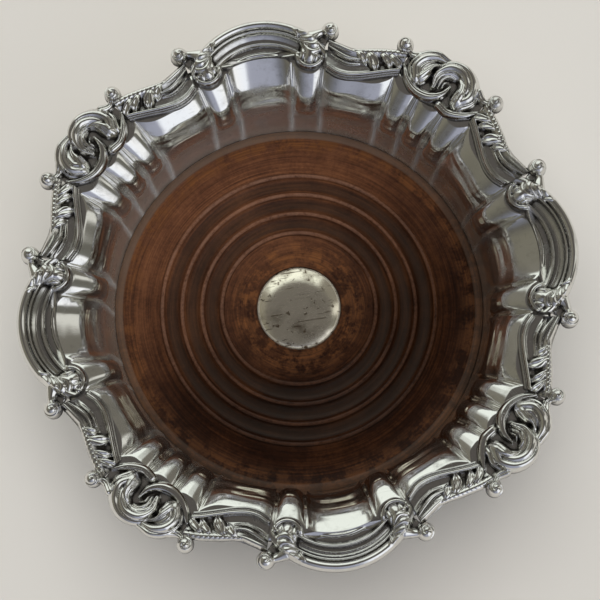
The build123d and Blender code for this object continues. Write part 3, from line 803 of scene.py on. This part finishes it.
def rosette_relief(plan):
    """A rosette with its middle on the plan's second axis: (height, distance outside)."""
    u, v = plan.T
    low = np.interp(u, (-15, -12, -9, -6, -3, 0, 2, 4, 7, 10, 13, 15),
                    (78.6, 76.2, 74.3, 73.2, 73, 73.6, 74.2, 73.6, 73.2, 74, 76.4, 78.6))
    high = np.interp(np.abs(u), (0, 8, 12.5, rosette_half_width), (86, 86, 84.5, 84.2))
    edge = np.maximum(np.maximum(low - v, v - high), np.abs(u) - rosette_half_width)
    forms = [(np.full_like(u, 0.9), edge)]
    forms += [
        strand(plan, ((-14.2, 80), (-11, 76.7), (-6, 74.7), (-1.2, 75.6), (1.5, 78.2), (2.5, 82)),
               (0.6, 1.2, 1.5, 1.7, 1.3, 0.4), (2.2, 2.6, 2.8, 3.1, 3.4, 3.2), reeds=2, reed_depth=0.3),
        strand(plan, ((2.7, 74.9), (6, 74.3), (10, 75.8), (14.4, 79.6)),
               (1.5, 1.45, 1.3, 0.6), (2.9, 2.8, 2.6, 2.2), reeds=2, reed_depth=0.3),
        strand(plan, ((-2.6, 88.4), (-6.6, 87.6), (-9.5, 84.6), (-9.9, 81.2), (-8.2, 79)),
               (1.6, 2.5, 3, 3.1, 2.8), (4, 4.9, 5.2, 4.9, 4.3), reeds=2, reed_depth=1, twist=1),
        strand(plan, ((-3.8, 86.4), (-6, 84), (-6.6, 81.6), (-7.2, 79.4)),
               (0.4, 1, 1.8, 2.2), (3.6, 4.4, 4.9, 4.6), reeds=2, reed_depth=0.7, twist=0.5),
        strand(plan, ((-2.2, 78.8), (-3, 83), (-0.6, 87), (3.6, 88), (7.8, 85.6), (9.2, 81.8), (7.8, 78.9)),
               (0.8, 1.9, 2.8, 3, 3.1, 3.1, 2.8), (3.6, 4.6, 5.4, 5.5, 5.2, 4.8, 4.2),
               reeds=2, reed_depth=1, twist=1.5),
        strand(plan, ((3.8, 85.4), (6, 83.4), (6.8, 81.2), (7, 79.2)),
               (0.4, 1.2, 2.1, 2.5), (3.8, 4.6, 5.1, 4.7), reeds=2, reed_depth=0.7, twist=0.5),
        strand(plan, ((-0.8, 79.6), (-1, 82), (0.4, 84.4), (2.8, 84.8)),
               (0.3, 0.7, 0.8, 0.3), (3.2, 3.6, 3.6, 2.8)),
        strand(plan, ((0.2, 80.2), (0.2, 81.8), (1.4, 83)), (0.25, 0.5, 0.25), (2.4, 2.8, 2)),
    ]
    for side in (-1, 1):
        forms.append(strand(plan, ((side * 11, 85.6), (side * 13.6, 84.2), (side * 16.2, 84.4)),
                            (1.6, 1.4, 1.1), (3.8, 3, 3.2), reeds=2, reed_depth=0.5))
        forms.append(bud(plan, (side * 17.43, 85.54), 2.7, 5.5, side, -0.25))
    return merge(forms)


set_round(strike("rosette", rosette_relief, (-20.4, 72.4), (20.4, 91)), "rosette_mount",
          [(45 + 90 * k, False) for k in range(4)])


# Floor, light and camera: a plain pale floor, one soft box overhead, a studio
# with tall bright panels all round for the silver to reflect, and a camera
# that looks steeply down.
bpy.ops.object.select_all(action="DESELECT")
bpy.ops.mesh.primitive_plane_add(size=6)
floor = bpy.context.object
floor.name = "floor"
pale, nodes, links, shader = new_material("pale_floor")
shader.inputs["Base Color"].default_value = (0.62, 0.60, 0.57, 1)
shader.inputs["Roughness"].default_value = 0.8
floor.data.materials.append(pale)

box_turn, box_tilt, box_distance, box_side, box_power = 90, 80, 1.5, 1.6, 22
lamp = bpy.data.lights.new("overhead", "AREA")
lamp.size = box_side
lamp.energy = box_power
lamp.color = (1, 0.98, 0.95)
overhead = bpy.data.objects.new("overhead", lamp)
bpy.context.scene.collection.objects.link(overhead)
overhead.matrix_world = (
    Matrix.Rotation(radians(box_turn), 4, "Z") @ Matrix.Rotation(radians(90 - box_tilt), 4, "Y")
    @ Matrix.Translation((0, 0, box_distance)) @ Matrix.Rotation(radians(90), 4, "Z"))
overhead.visible_glossy = False

camera_turn, camera_tilt = radians(-10.08), radians(78.9)
camera_distance, aim_height, aim_right, aim_up = 475, 46.2, 0.36, -4.4
focal_pixels, image_pixels, sensor_width = 1513.5, 600, 36
camera_data = bpy.data.cameras.new("camera")
camera_data.sensor_width = sensor_width
camera_data.lens = sensor_width * focal_pixels / image_pixels
camera_data.clip_start = 0.01
camera = bpy.data.objects.new("camera", camera_data)
bpy.context.scene.collection.objects.link(camera)
back = Vector((sin(camera_turn) * cos(camera_tilt), -cos(camera_turn) * cos(camera_tilt), sin(camera_tilt)))
right = Vector((cos(camera_turn), sin(camera_turn), 0))
up = back.cross(right)
camera_place = Vector((0, 0, aim_height)) + back * camera_distance + right * aim_right + up * aim_up
camera.matrix_world = Matrix.Translation(camera_place * mm) @ Matrix((right, up, back)).transposed().to_4x4()
bpy.context.scene.camera = camera
bpy.context.scene.view_settings.view_transform = "Standard"

panels = (
    (0, (0.20, 0.19, 0.15)), (30, (0.13, 0.125, 0.11)), (58, (0.20, 0.21, 0.25)), (75, (0.36, 0.38, 0.47)),
    (100, (0.40, 0.42, 0.52)), (108, (1.05, 1.10, 1.20)), (145, (1.10, 1.12, 1.15)),
    (153, (0.18, 0.18, 0.16)), (174, (0.14, 0.135, 0.115)), (178, (0.75, 0.75, 0.70)),
    (190, (0.75, 0.75, 0.70)), (194, (0.18, 0.17, 0.145)), (228, (0.18, 0.17, 0.145)),
    (236, (1.00, 1.06, 1.00)), (302, (1.00, 1.06, 1.00)), (310, (0.22, 0.21, 0.18)),
    (360, (0.20, 0.19, 0.15)))
ceiling, ceiling_start, ceiling_full = (0.10, 0.092, 0.085), 0.80, 0.88
world = bpy.data.worlds.new("studio")
bpy.context.scene.world = world
world.use_nodes = True
nodes, links = world.node_tree.nodes, world.node_tree.links
direction = nodes.new("ShaderNodeSeparateXYZ")
links.new(nodes.new("ShaderNodeTexCoord").outputs["Generated"], direction.inputs["Vector"])
turn = calculate(nodes, links, "ARCTAN2", direction.outputs["Y"], direction.outputs["X"])
round_share = calculate(nodes, links, "MULTIPLY_ADD", turn, 1 / (2 * pi), 0.5)
walls = ramp(nodes, links, round_share, [(angle / 360, colour) for angle, colour in panels])
overhead_share = soft_step(nodes, links, direction.outputs["Z"], ceiling_start, ceiling_full)
links.new(blend(nodes, links, overhead_share, walls, ceiling), nodes["Background"].inputs["Color"])
